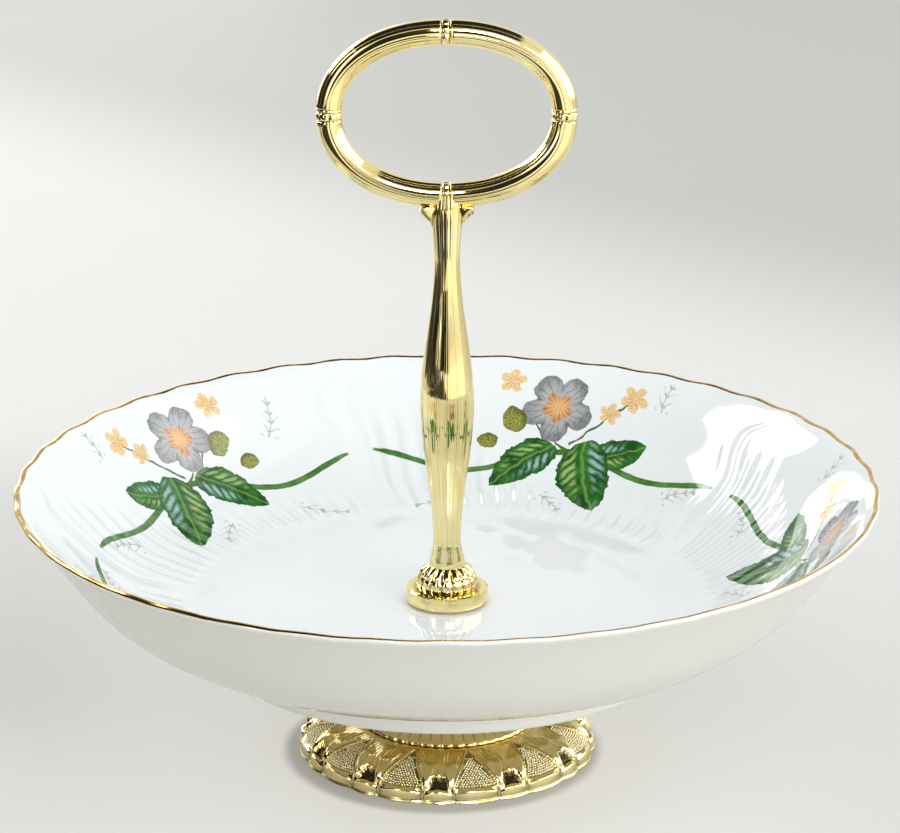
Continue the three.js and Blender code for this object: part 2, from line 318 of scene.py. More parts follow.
# %% Bowl outline
ring_radius, rim_radius, bowl_hole = 60.0, 108.5, 3.2
belly, lean = math.radians(15.7), math.radians(48.1)
belly_pull, lean_pull = 36.1, 23.2
at_ring, at_rim = 4.3, 1.9
wall_start = np.array([ring_radius, ring_edge + 4.9])
wall_end = np.array([rim_radius, rim_level - 0.8])
belly_way = np.array([math.cos(belly), math.sin(belly)])
lean_way = np.array([math.cos(lean), math.sin(lean)])
bulge, flare = wall_start + belly_pull * belly_way, wall_end - lean_pull * lean_way
outer = curve(wall_start, bulge, flare, wall_end, 56)
along = heading(outer)
thickness = np.linspace(at_ring, at_rim, len(outer))[:, None]
inner = (outer + thickness * np.c_[-along[:, 1], along[:, 0]])[::-1]
inner = inner[(inner[:, 1] > floor_level + 0.35) & (inner[:, 1] < rim_level - 0.7)]
ring_corner = np.array([ring_radius, ring_edge + 3.2])
fillet = curve(ring_corner, ring_corner + [0, 1.2], outer[2] - 1.2 * belly_way, outer[2], 7)
under = [(bowl_hole, 0), (30, 0), (54.5, 0), (56.2, -0.4), (56.9, -1.6)]
foot_ring = [(57.2, 0.7), (57.8, 0.1), (58.9, 0), (59.8, 0.4), (ring_radius, 1.2)]
underside = above(bowl_underside, under) + above(ring_edge, foot_ring)
lip = [(0.16, 1.15), (0, 0.75), (0.1, 0.4), (0.45, 0.1), (0.9, 0), (1.3, 0.12), (1.65, 0.4)]
lip = [(rim_radius - inward, rim_level - down) for inward, down in lip]
bend = [(inner[-1][0] - 2.2, floor_level + 0.16), (inner[-1][0] - 5, floor_level)]
inside_floor = [(r, floor_level) for r in (58, 50, 40, 30, 20, 12, bowl_hole)]
bowl_outline = [*underside, *map(tuple, fillet), *map(tuple, outer[3:-2]), *lip]
top_index = len(bowl_outline) - 3
bowl_outline += [*map(tuple, inner), *bend, *inside_floor, (bowl_hole, bowl_underside)]
print("bowl outline", len(bowl_outline), "points, inner wall", len(inner))

# %% [markdown]
# The outline is spun, and then each corner remembers where it is on the wall: how far round, and
# how many millimetres along the wall from the rim, positive inside the bowl. The print, the gilding
# and the ribs are all laid out in these two numbers. Last, a cosine waves the rim in and out,
# because forty-two equal scallops are slow to move by hand.

# %% Bowl body
rim_lobes, lobe_out, lobe_up, lobe_fade = 42, 0.18, 0.15, 13
bowl = turn("bowl_glazed", bowl_outline, 12 * rim_lobes, smooth=60)
points, radius, angle = polar(bowl)
outline_array = np.array(bowl_outline)
from_rim = length_along(outline_array)
from_rim -= from_rim[top_index]
wall_place = np.zeros(len(points))
for start in range(0, len(points), 20000):
    part = slice(start, start + 20000)
    gap = (radius[part, None] - outline_array[None, :, 0]) ** 2
    gap += (points[part, 2, None] - outline_array[None, :, 1]) ** 2
    wall_place[part] = from_rim[np.argmin(gap[:, :-1], axis=1)]


def whole_numbers(items, key):
    numbers = np.zeros(len(items), np.int64)
    items.foreach_get(key, numbers)
    return numbers


def lay_map(piece, turns, second):
    """Writes a UV map from one number of turns and one second number for each corner."""
    mesh = piece.data
    corner = whole_numbers(mesh.loops, "vertex_index")
    starts = whole_numbers(mesh.polygons, "loop_start")
    face = np.repeat(np.arange(len(starts)), whole_numbers(mesh.polygons, "loop_total"))
    u = turns[corner]
    width = np.maximum.reduceat(u, starts) - np.minimum.reduceat(u, starts)
    u = np.where((width > 0.5)[face] & (u < 0.5), u + 1, u)
    while mesh.uv_layers:
        mesh.uv_layers.remove(mesh.uv_layers[0])
    layer = mesh.uv_layers.new(name="Place")
    layer.data.foreach_set("uv", np.c_[u, second[corner]].ravel())


lay_map(bowl, np.arctan2(points[:, 0], points[:, 1]) / full_turn + 0.5, wall_place)
near = ramp(points[:, 2], rim_level - lobe_fade, rim_level)
lobe = np.cos(rim_lobes * angle) * near
points[:, :2] *= (1 + lobe_out * lobe / radius)[:, None]
points[:, 2] += lobe_up * (lobe - near)
place_points(bowl, points)

# %% [markdown]
# ## The bowl's glaze, relief, print and gilding
# The wall is moulded with shallow swirled ribs and five raised scroll bands. They are a fraction of
# a millimetre high, so they are a bump in the glaze. The print is a garland with five sprays, drawn
# as masks from plain distances in millimetres: an ellipse for a leaf, a rosette for a bloom, a wave
# for the stem.

# %% Porcelain frame of reference
glaze = Finish("porcelain_glaze", Roughness=0.05, IOR=1.5)
mix = glaze.mix
around, wall = glaze.place("UV")
local_radius = 107 - 0.6 * wall - 0.0028 * wall * wall
bays, first_bay, first_band = 5, 0.708, 0.2083
bay_length = local_radius * (full_turn / bays)
bay_place = around * bays + first_bay
bay_share = bay_place.fraction()
odd_bay = bay_place.floor() - (bay_place.floor() / 2).floor() * 2
mirrored = 1 - 2 * odd_bay
across = (bay_share - 0.5) * bay_length
up = -1 * wall

# %% [markdown]
# First the relief. One bay is 72 degrees. Its scroll band runs down the wall like a long S, and the
# ribs start at the floor's edge. They reach nearly to the rim beside the band and get shorter away
# from it.

# %% Swirled ribs and scroll bands
ribs = 100
band_bend = 0.085 * wall.step(12, 0) + 0.03 * wall.step(14, 26) + 0.05 * wall.step(38, 52) - 0.034
band_place = around * bays + first_band - band_bend
band_mm = (band_place.fraction() - 0.5) * bay_length
past_band = (band_place + 0.5).fraction()
reach = 9 + 27 * past_band.step(0.06, 0.5)
off_band = (band_mm - 2.5).step(-1.5, 1.5).most((band_mm + 8).step(1.5, -1.5))
rib_fade = (wall - reach).step(0, 15) * wall.step(55, 49) * off_band
rib_wave = ((around * ribs - band_bend * 9) * full_turn).cos()
band_fade = wall.step(1.5, 9) * wall.step(56, 44)
ridge = abs(band_mm + 5).step(3.6, 0.4) * 0.3
groove = abs(band_mm - 0.4).step(2.0, 0.2) * 0.16
shoulder = abs(band_mm - 9).step(8, 1) * 0.12
height = rib_wave * rib_fade * 0.3 + (ridge - groove + shoulder) * band_fade
inside = wall.step(-0.2, 0.6)
glaze.relief(height * inside)

# %% [markdown]
# The garland is generic. Its leaves, blooms and sprigs keep the scale and the colours of a
# botanical print, in a layout of their own. Each helper returns a mask, and a leaf also returns its
# two own coordinates, from which its veins and lights are shaded.

# %% Print helpers


def turned(x, y, at_x, at_y, degrees):
    """Coordinates along and across a motif at a place and tilt."""
    a = math.radians(degrees)
    dx, dy = x - at_x, y - at_y
    return dx * math.cos(a) + dy * math.sin(a), dy * math.cos(a) - dx * math.sin(a)


def leaf(x, y, at_x, at_y, degrees, half_length, half_width):
    """A toothed leaf: its mask, its own two coordinates and the distance in from its edge."""
    a, b = turned(x, y, at_x, at_y, degrees)
    t = a / half_length
    b = b + (t * t - 0.3) * (half_width * 0.2)
    width = (1 - t).most(0) ** 0.75 * (1 + t).most(0) ** 0.5 * (half_width * 0.8)
    width = width * (1 + 0.022 * (t * 31).sin() + 0.015 * (t * 47 + 1).sin())
    inset = width - abs(b)
    return inset.step(0, 0.25), t, b / half_width, inset


def dot(x, y, at_x, at_y, size, stretch=1.0, degrees=0):
    a, b = turned(x, y, at_x, at_y, degrees)
    reach = (a * a + b * b * stretch * stretch).sqrt()
    return (size - reach).step(0, 0.25), reach / size, b / size


def bloom(x, y, at_x, at_y, size, petals, degrees=0, notch=0.35):
    """A flower: its mask, the share of its radius and the place across each petal."""
    a, b = turned(x, y, at_x, at_y, degrees)
    reach = (a * a + b * b).sqrt() / size
    side = ((a.angle_to(b) * (petals / full_turn) + 10).fraction() - 0.5) * 2
    edge = 1 - notch * (side * side) ** 1.2
    return (edge - reach).step(0, 0.3 / size), reach, side


def twig(x, y, line, width, start, end):
    """A stem of one width along the curve y = line(x), between two values of x."""
    ends = (x - start).step(0, 0.4) * (end - x).step(0, 0.4)
    return (width / 2 - abs(y - line(x))).step(-0.1, 0.15) * ends


def sprig(x, y, at_x, at_y, degrees, length, size=2.5):
    """A fine sprig: thin leaflets in pairs on a bent stalk."""
    a, b = turned(x, y, at_x, at_y, degrees)
    b = b + (a * 0.3).sin() * 0.8
    slant = (a - abs(b) * 1.1) / 3.1
    stroke = abs(slant.fraction() - 0.5)
    longest = size * (0.75 + 0.25 * (a * 1.9).sin())
    taper = (longest - abs(b)).step(-0.2, 0.8)
    strokes = (0.12 - stroke + 0.05 * taper).step(0, 0.06) * taper
    stalk = (0.17 - abs(b)).step(-0.1, 0.1)
    return strokes.most(stalk) * a.step(0, 0.6) * (length - a).step(0, 0.6)


# %% [markdown]
# The transfer is painted from back to front on white: sprigs, the vine with its break at each
# scroll band, and the flower stems. A little noise moves the pen, so that no edge is as true as a
# formula.

# %% Garland
white, outside_bounce_white = (0.88, 0.91, 0.93), (0.89, 0.9, 0.875)
colour = mix(0.0, white, white)
grain = glaze.noise(3000)
soft_grain = glaze.noise(250)
pen_x = across * mirrored + (glaze.noise(330, 3.0) - 0.5) * 1.9
pen_y = up + (glaze.noise(291, 3.0) - 0.5) * 1.9


def paint(mask, tint, strength=1.0):
    global colour
    colour = mix(mask * strength, colour, tint)


sprigs = ((-34, -37, 150, 13), (31, -21, 62, 14), (24, -45, -30, 12), (-27, -12, 105, 10))
for place in (*sprigs, (2, -44, -140, 10)):
    paint(sprig(pen_x, pen_y, *place), (0.3, 0.3, 0.27), 0.62)

vine_sway = (bay_share * full_turn).sin() * mirrored * 1.8
vine_y = (bay_share * (2 * full_turn)).cos() * 3.2 + vine_sway - 31.5
vine_gap = (abs(band_mm + 1) - 3.2).step(0, 0.8)
from_vine = abs(up + (pen_y - up) * 0.35 - vine_y)
vine_taper = (abs(band_mm + 1) - 3).step(0, 6) * 0.5 + 0.45
vine = (vine_taper - from_vine).step(-0.15, 0.2) * vine_gap
vine_tint = mix(soft_grain.step(0.35, 0.65), (0.05, 0.19, 0.025), (0.13, 0.3, 0.07))
vine_tint = mix(from_vine.step(0.35, 0.9) * 0.8, vine_tint, (0.035, 0.12, 0.02))
paint(vine, vine_tint)

stems = [
    (lambda x: (x + 4) * (x + 4) * 0.055 - 28, -14, 3),
    (lambda x: (x - 4) * 1.5 - 28.5, 2, 11),
    (lambda x: x * -0.95 - 27, -18, -1),
]
for line, start, end in stems:
    paint(twig(pen_x, pen_y, line, 0.85, start, end), (0.09, 0.17, 0.03))
print("bays of vine, sprigs and stems:", bays)

# %% [markdown]
# A painted leaf is dark at its edge and between its halves, with lights left between the side
# veins: bluish on one half, yellow-green on the other. All of that follows from the leaf's own two
# coordinates.

# %% Painted leaves
leaf_green, leaf_dark = (0.045, 0.2, 0.03), (0.01, 0.07, 0.012)
pale_blue, pale_green = (0.4, 0.62, 0.66), (0.42, 0.6, 0.2)
leaves = ((-17, -26, 158, 8.5, 5.5), (10.5, -33.5, -48, 10.5, 7.5), (-9, -36, -112, 12.5, 9.5))
for place in leaves:
    mask, t, b, inset = leaf(pen_x, pen_y, *place)
    cell_place = abs((t * 4.2 - abs(b) * 2.6 + 10).fraction() - 0.5) * 2
    light = cell_place.step(0.95, 0.15) * abs(b).step(0.12, 0.3) * inset.step(0.8, 2.6)
    light = light * (t + (soft_grain - 0.5) * 1.6).step(0.55, -0.2)
    shade = mix(soft_grain.step(0.3, 0.7), leaf_green, leaf_dark)
    shade = mix(light * 0.85, shade, mix(b.step(-0.1, 0.1), pale_blue, pale_green))
    shade = mix(cell_place.step(0.86, 0.97) * 0.55, shade, leaf_dark)
    shade = mix(inset.step(0.7, 0.2) * 0.8, shade, leaf_dark)
    shade = mix(abs(b).step(0.07, 0.02) * 0.7, shade, (0.2, 0.36, 0.1))
    paint(mask, mix((grain - 0.5).step(-0.1, 0.3) * 0.25, shade, (0.12, 0.3, 0.08)))
print("leaves:", len(leaves))

# %% [markdown]
# The open flower is a grey wash with darker veins that run out from an orange heart. The blossoms
# and seed heads are stippled: a fine noise, cut to two tones, gives the look of a printed crayon.

# %% Painted flowers
mask, reach, side = bloom(pen_x, pen_y, 4, -15, 10.5, 5, 18)
to_edge = (reach + (soft_grain - 0.5) * 0.8).step(0.3, 1.05)
wash = mix(to_edge, (0.5, 0.49, 0.5), (0.17, 0.18, 0.19))
veins = ((side * 14 + (soft_grain - 0.5) * 9).sin()).step(0.35, 0.95) * reach.step(0.25, 0.5)
wash = mix(veins * 0.45, wash, (0.1, 0.105, 0.11))
wash = mix(grain.step(0.45, 0.65) * 0.35, wash, (0.62, 0.62, 0.62))
wash = mix(abs(side).step(0.75, 1.0) * reach.step(0.3, 0.7) * 0.75, wash, (0.07, 0.075, 0.08))
wash = mix((reach - abs(side) * 0.08).step(0.95, 1.0) * 0.5, wash, (0.08, 0.085, 0.09))
heart = (reach + abs(side) * 0.14 + (soft_grain - 0.5) * 0.25).step(0.5, 0.4)
heart_tint = mix(reach.step(0.1, 0.4), (0.87, 0.52, 0.24), (0.62, 0.3, 0.14))
wash = mix(heart, wash, heart_tint)
wash = mix((side * 9).sin().step(0.6, 1.0) * heart * 0.6, wash, (0.16, 0.07, 0.03))
paint(mask, wash)

for at_x, at_y, size in ((-18, -9.5, 4.4), (-11.5, -15, 3.5), (18.5, -8, 4.0)):
    mask, reach, side = bloom(pen_x, pen_y, at_x, at_y, size, 5, at_x * 7, 0.5)
    tint = mix(grain.step(0.42, 0.6), (0.84, 0.5, 0.16), (0.93, 0.72, 0.38))
    crease = (side * 7).sin().step(0.5, 1) * reach.step(0.8, 0.3) * 0.7
    tint = mix(crease, tint, (0.35, 0.17, 0.04))
    paint(mask, tint, 0.92)

for at_x, at_y, size, tilt in ((15.5, -19.5, 4.3, 50), (21.5, -26.5, 3.2, 20)):
    mask, reach, over = dot(pen_x, pen_y, at_x, at_y, size, 1.35, tilt)
    tint = mix(grain.step(0.44, 0.56), (0.13, 0.15, 0.025), (0.42, 0.4, 0.1))
    tint = mix((reach + over * 0.5).step(0.5, 1.2) * 0.75, tint, (0.08, 0.1, 0.02))
    paint(mask, tint)
print("flowers painted")

# %% [markdown]
# The gilder's brush runs round the very edge, so the line is thin and its lower border is a little
# uneven. Where the gold lies, the shader turns to metal.

# %% Gilding and glaze
uneven = (soft_grain - 0.5) * 0.4
full_brush = abs(around - 0.2).step(0.22, 0.08)
outer_border = wall + 0.42 + full_brush * 0.75 + uneven * 0.5
gilded = (wall - 0.72 + uneven).step(0.1, -0.1) * outer_border.step(-0.1, 0.1)
# The outside gets a warmer white than the inside: a painted warm cast of light from the table.
colour = mix(inside, outside_bounce_white, colour)
gold_tint = mix(soft_grain.step(0.3, 0.7), (0.5, 0.3, 0.07), (0.72, 0.48, 0.15))
colour = mix(gilded, colour, gold_tint)
glaze.set(Base_Color=colour, Metallic=gilded, Roughness=gilded * 0.1 + soft_grain * 0.01 + 0.04)
done(bowl, "bowl", glaze.material)

# %% [markdown]
# ## The gilt finish
# The handle and the foot are cast, polished and plated with pale gold. The plate mirrors the room,
# so its look comes mostly from what stands around it. Thin lacquer and handling leave it a little
# uneven, and the hollows are darkened in the colour as painted shade. Where a piece has reeds,
# engraved lines run between them along the piece's own map, also darkened as painted shade.

# %% Gilt
pale_gold, light_gold, highlight_white = (0.93, 0.75, 0.32), (0.96, 0.83, 0.44), (1.0, 0.96, 0.8)


def plate(name):
    """The start of a gilt finish: its fine and broad unevenness, its colour and its hollows."""
    finish = Finish(name, Metallic=1.0)
    fine, broad = finish.noise(1400, 3.0), finish.noise(90)
    tint = finish.mix(broad.step(0.3, 0.7), pale_gold, light_gold)
    hollow = finish.node("Attribute", "Fac", attribute_name="hollow")
    return finish, fine, broad, tint, hollow


def gilt(name, hollow_shade, roughness, reeds=0, split_reeds=0, pale=0.0):
    finish, fine, broad, tint, hollow = plate(name)
    relief = fine * 0.001 + broad * 0.02
    if reeds:
        across_reed, along_piece = finish.place("UV")
        line = abs((across_reed * reeds).fraction() - 0.5).step(0.44, 0.5)
        line = line * along_piece.step(0.0, 0.06)
        if split_reeds:
            split = abs((across_reed * split_reeds + 0.5).fraction() - 0.5).step(0.42, 0.5)
            belly_part = along_piece.step(0.24, 0.34) * along_piece.step(0.74, 0.62)
            line = line.most(split * belly_part * 0.4)
        relief = relief - line * 0.03
        # The engraved lines also darken the colour: painted shade in the grooves.
        hollow = hollow.most(line * 0.65)
    # Painted highlight: a share of near white in the gold, for pieces that catch bright glints.
    if pale:
        tint = finish.mix(pale, tint, highlight_white)
    # Painted shade: the colour darkens towards dark brown in the hollows.
    tint = finish.mix(hollow * hollow_shade, tint, (0.07, 0.045, 0.012))
    uneven_shine = (fine - 0.5) * 0.03 + broad * 0.03
    finish.set(Base_Color=tint, Roughness=uneven_shine + roughness + hollow * 0.1)
    finish.relief(relief)
    return finish.material


def mark_hollows(piece, hollow):
    layer = piece.data.attributes.new("hollow", "FLOAT", "POINT")
    layer.data.foreach_set("value", hollow.astype(np.float32))


handle_gilt = gilt("gilt_handle_plate", 0.85, 0.035)
loop_gilt = gilt("gilt_loop_plate", 0.5, 0.035, reeds=8)
stem_gilt = gilt("gilt_stem_plate", 0.6, 0.03, reeds=16, split_reeds=32)
cup_gilt = gilt("gilt_cup_plate", 0.9, 0.1)

# %% [markdown]
# ## The loop
# The loop is cast as a bundle of eight reeds, tied in four places. A round section is spun into a
# ring first, with many steps, because the ties are small.

# %% Loop ring
loop_centre, half_width, half_height, stock = 166.35, 28.7, 20.2, 3.2
section = {"vertices": 96, "radius": stock * mm, "location": (half_width * mm, 0, 0)}
loop = new_piece("loop_reeded", bpy.ops.mesh.primitive_circle_add, **section)
bpy.ops.object.transform_apply(location=True, rotation=True, scale=True)
enter_edit()
bpy.ops.mesh.spin(steps=400, angle=full_turn, center=(0, 0, 0), axis=(0, 1, 0))
leave_edit(merge=0.005)
print("ring", len(loop.data.vertices), "corners")

# %% [markdown]
# Then each corner moves by formula. The ring becomes a full oval and its corners gather near the
# ties. The section gets its reeds, and every tie becomes one row of beads beside one thin ridge,
# with a nick on either side of the beads.

# %% Reeds and ties
fullness = 2 / 2.12
beads_at, beads_half, ridge_at, ridge_half = -0.3, 0.95, 1.1, 0.4
tie_start, tie_end = -1.3, 1.55


def signed_power(value, power):
    return np.sign(value) * abs(value) ** power


def hill(value, centre, width):
    """1 in the centre and 0 at a width to either side, rounded."""
    return np.clip(1 - ((value - centre) / width) ** 2, 0, 1)


points = points_of(loop)
round_loop = np.arctan2(points[:, 0], points[:, 2])
round_loop -= 0.7 / 4 * np.sin(4 * round_loop)
round_stock = np.arctan2(points[:, 1], np.hypot(points[:, 0], points[:, 2]) - half_width)
sine, cosine = np.sin(round_loop), np.cos(round_loop)
oval_size = np.array([half_width, half_height])
centre = oval_size * signed_power(np.c_[sine, cosine], fullness)
normal = oval_size[::-1] * signed_power(np.c_[sine, cosine], 2 - fullness)
normal /= np.hypot(*normal.T)[:, None]
from_tie = np.where(abs(cosine) > abs(sine), centre[:, 0], centre[:, 1])
crest = abs(np.sin(4 * round_stock))
bead = np.sqrt(hill(from_tie, beads_at, beads_half))
ridge_row = np.sqrt(hill(from_tie, ridge_at, ridge_half))
tied = (from_tie > tie_start) & (from_tie < tie_end)
nick = np.exp(-(((from_tie + 1.4) / 0.18) ** 2)) + np.exp(-(((from_tie - 0.68) / 0.16) ** 2))
tie_height = np.maximum(0.52 * bead * crest**0.5, 0.4 * ridge_row)
reach = np.where(tied, stock - 0.4 + tie_height, stock - 0.08 * (1 - crest) ** 2) - 0.15 * nick
points[:, ::2] = centre + normal * (reach * np.cos(round_stock))[:, None] + [0, loop_centre]
points[:, 1] = reach * np.sin(round_stock)
place_points(loop, points)
# Painted shade: the nicks and the gaps between the beads are darkened.
mark_hollows(loop, np.clip(0.9 * nick + 0.9 * tied * (1 - np.maximum(bead, ridge_row)) ** 2, 0, 1))
lay_map(loop, round_stock / full_turn + 0.5, np.where(tied, 0.0, 1.0))
bpy.ops.object.shade_smooth()
done(loop, "handle", loop_gilt)

# %% [markdown]
# ## The stem
# The stem swells like a baluster. Sixteen reeds run its whole length, and on the swelling each one
# is split in two by a finer groove.

# %% Stem
stem_low, stem_high = low("handle"), loop_centre - 23.4
stem_height = stem_high - stem_low


def stem_radius(share):
    knots = ((0, 4.6), (0.07, 3.5), (0.46, 6.78), (0.86, 3.2), (1.0, 3.9), (1.04, 3.3))
    size = np.full_like(share, knots[0][1])
    for (a, from_size), (b, to_size) in zip(knots, knots[1:]):
        here = (share >= a) & (share <= b)
        size = np.where(here, from_size + (to_size - from_size) * ramp(share, a, b), size)
    return size


shares = np.r_[np.linspace(0, 0.08, 8), np.linspace(0.09, 1.04, 82)]
stem_outline = [(0, stem_low)]
stem_outline += [(r, stem_low + s * stem_height) for s, r in zip(shares, stem_radius(shares))]
stem_top = stem_low + 1.05 * stem_height
stem_outline += [(2.2, stem_top), (0, stem_top)]
stem = turn("stem_reeded", stem_outline, 192)
points, radius, angle = polar(stem)
share = (points[:, 2] - stem_low) / stem_height
main_reed = abs(np.cos(8 * angle))
depth = (0.04 + 0.1 * ramp(share, 0.8, 0.95)) * (1 - main_reed) ** 2
points[:, :2] *= (1 - depth / np.maximum(radius, 1))[:, None]
place_points(stem, points)
mark_hollows(stem, np.zeros(len(points)))
lay_map(stem, angle / full_turn + 0.5, share)
bpy.ops.object.shade_smooth()
done(stem, "handle", stem_gilt)

# %% [markdown]
# Two small leaf brackets fill the corners between the stem and the loop. A point is extruded along
# the leaf's outline, the outline is filled and given its thickness, and both faces are inset three
# times, so that a dark line runs round a lighter middle. The line's groove is also darkened in the
# colour as painted shade.

# %% Leaf brackets


def bracket(name, side):
    outline = [(3.0, 136.9), (3.5, 138.2), (4.5, 139.9), (6.0, 141.2), (6.9, 142.4), (6.4, 143.5)]
    outline += [(4.6, 143.5), (2.6, 143.6)]
    piece = draw_outline(name, [(side * x, z) for x, z in outline])
    bpy.ops.mesh.edge_face_add()
    bpy.ops.mesh.extrude_region_move(TRANSFORM_OT_translate={"value": (0, 4.2 * mm, 0)})
    bpy.ops.mesh.select_all(action="SELECT")
    bpy.ops.transform.translate(value=(0, -2.1 * mm, 0))
    leave_edit()
    for element in (*piece.data.vertices, *piece.data.edges):
        element.select = False
    for face in piece.data.polygons:
        face.select = abs(face.normal.y) > 0.9
    bpy.ops.object.mode_set(mode="EDIT")
    bpy.ops.mesh.select_mode(type="FACE")
    for border, depth in ((0.42, 0), (0.2, -0.45), (0.35, 0.4)):
        bpy.ops.mesh.inset(thickness=border * mm, depth=depth * mm)
    bpy.ops.object.mode_set(mode="OBJECT")
    mod = piece.modifiers.new("Rounding", "BEVEL")
    mod.width, mod.segments, mod.limit_method = 0.12 * mm, 2, "ANGLE"
    bpy.ops.object.modifier_apply(modifier="Rounding")
    points = points_of(piece)
    # Painted shade: the groove round the middle is darkened.
    mark_hollows(piece, (abs(points[:, 1]) < 1.85).astype(float) * 0.6)
    points[:, 1] *= 0.5 + 0.75 * ramp(points[:, 2], 137, 143.6)
    place_points(piece, points)
    bpy.ops.object.shade_smooth_by_angle(angle=math.radians(35))
    done(piece, "handle", handle_gilt)


bracket("leaf_bracket_right", 1)
bracket("leaf_bracket_left", -1)

# %% [markdown]
# ## Collar and base disc
# The collar is a ring of sixteen lobes: round beads on top, short columns below. It is turned
# plain, and grooves between the lobes then draw its side in and its top down.

# %% Collar
collar_low, collar_high = low("lobed_collar"), high("lobed_collar")
rod_hole = 2.3
collar_side = [(rod_hole, 0), (7.2, 0), (7.6, 0), (7.72, 0.4), (7.82, 0.9), (7.87, 1.7)]
collar_side += [(7.75, 2.4), (7.5, 3.0), (7.2, 3.45), (7.1, 3.7), (7.08, 3.95), (6.95, 4.3)]
collar_side += [(6.65, 4.75), (6.15, 5.25), (5.6, 5.7), (5.0, 6.05)]
collar_outline = above(collar_low, collar_side)
collar_outline += [(4.6, collar_high), (rod_hole, collar_high), (rod_hole, collar_low)]
collar = turn("collar_lobed", collar_outline, 256, smooth=50)
points, radius, angle = polar(collar)
lobe_place = angle * 8 / math.pi
off_lobe = 2 * abs(lobe_place - np.round(lobe_place))
groove = 1 - np.sqrt(1 - 0.94 * off_lobe**2)
outer_part = ramp(radius, 4.2, 6.6)
crown = ramp(points[:, 2], collar_low + 3.2, collar_low + 4.2)
depth = (0.55 + 0.75 * crown) * groove * outer_part
points[:, :2] *= (1 - depth / radius)[:, None]
points[:, 2] -= 0.85 * groove * crown * ramp(radius, 4.8, 5.8)
place_points(collar, points)
# Painted shade: the grooves between the lobes are darkened.
mark_hollows(collar, np.clip(2 * groove**2 * outer_part, 0, 1))
done(collar, "lobed_collar", handle_gilt)

# %% [markdown]
# The disc under the collar is a plain turned flange, slightly dished, with a rounded edge. Where it
# meets the collar its colour is darkened as painted shade.

# %% Base disc
disc_low, disc_high = low("base_disc"), high("base_disc")
disc_outline = above(disc_low, [(rod_hole, 0), (10.1, 0), (10.4, 0.3)])
disc_outline += above(disc_high, [(10.4, -0.5), (10.28, -0.18), (10.0, 0), (9.6, -0.02)])
disc_outline += above(collar_low, [(9.0, 0.1), (8.2, 0), (rod_hole, 0)]) + disc_outline[:1]
disc = turn("disc_dished", disc_outline, 128, smooth=35)
points, radius, angle = polar(disc)
# Painted shade in the corner where the disc meets the collar.
mark_hollows(disc, 0.5 * ramp(radius, 8.9, 8.2) * (points[:, 2] > disc_low + 1))
done(disc, "base_disc", handle_gilt)

# %% [markdown]
# ## Seat cup
# The cup between the bowl and the foot is a fluted spool. Only its lowest part shows under the
# bowl, with the wavy lip in which the flutes end.

# %% Seat cup
cup_low, cup_high, flutes = low("seat_cup"), high("seat_cup"), 48
cup_side = [(19.9, 0), (22.6, 0), (23.0, 0.3), (23.0, 0.8), (22.6, 1.15), (21.9, 1.5), (21.2, 2.2)]
cup_side += [(20.2, 3.9), (19.2, 6.2), (18.2, 8.8), (17.6, 11.4), (17.5, 14.4), (17.7, 17.8)]
cup_side += [(18.2, 20.2), (19.3, 22.4), (20.6, 24.0), (21.0, 24.9)]
cup_outline = above(cup_low, cup_side)
cup_outline += above(cup_high, [(21.0, 0), (rod_hole, 0), (rod_hole, -1.5), (16.7, -1.5)])
cup_outline += above(cup_low, [(16.0, 19.8), (16.0, 11.0), (19.9, 0)])
cup = turn("seat_cup_fluted", cup_outline, 12 * flutes, smooth=50)
points, radius, angle = polar(cup)
groove = 1 - abs(np.cos(flutes / 2 * angle)) ** 0.8
outside = (radius > 17.3) & (points[:, 2] > cup_low + 0.01) & (points[:, 2] < cup_high - 0.01)
body = outside * ramp(points[:, 2], cup_low + 0.9, cup_low + 2.0)
lip_part = outside * ramp(points[:, 2], cup_low + 1.3, cup_low + 0.9)
points[:, :2] *= (1 - (0.5 * groove * body + 0.35 * groove * lip_part) / radius)[:, None]
place_points(cup, points)
# Painted shade: the flutes' grooves and the cup's lowest edge, over the foot, are darkened.
mark_hollows(cup, np.clip(groove**4 * body + (points[:, 2] < cup_low + 0.25), 0, 1) * 0.7)
done(cup, "seat_cup", cup_gilt)

# %% [markdown]
# ## Foot
# The foot is pressed and chased. Twelve petals with a pointed leaf, a small ball and two side
# leaves take turns with twelve pebbled panels, and each ends in a smooth upright lobe over a thin
# scalloped lip. First the plain skirt is spun, with many steps, because the embossing will be
# carried by its corners.

# %% Foot skirt
foot_radius, lip_radius, foot_top, web_low, petals = 38.7, 37.6, 8.6, 7.0, 12
web = [(rod_hole, web_low), (23.0, web_low), (30.0, 5.7), (33.9, 3.3), (35.9, 1.2), (35.9, 0.0)]
foot_lip = [(lip_radius, 0.0), (38.1, 0.12), (38.35, 0.45), (38.15, 0.8)]
skirt_bends = ((24.0, foot_top), (31.0, 7.9), (37.8, 6.4), (37.95, 0.95))
skirt = curve(*map(np.array, skirt_bends), 76)
foot_outline = [*web, *foot_lip, *map(tuple, skirt[::-1])]
foot_outline += [(23.0, foot_top), (rod_hole, foot_top), web[0]]
foot = turn("foot_embossed", foot_outline, 50 * petals, smooth=55)
print("foot outline", len(foot_outline))

# %% [markdown]
# Every corner of the skirt gets its own place: how far down it lies, and how far to the side of the
# nearest petal's middle, in degrees and in millimetres.

# %% Places on the skirt
points, radius, angle = polar(foot)
run, skirt_way = length_along(skirt), heading(skirt)
total_mm = run[-1]


def along_skirt(values):
    """A value that is known along the skirt's curve, at the height of each corner."""
    return np.interp(-points[:, 2], -skirt[:, 1], values)


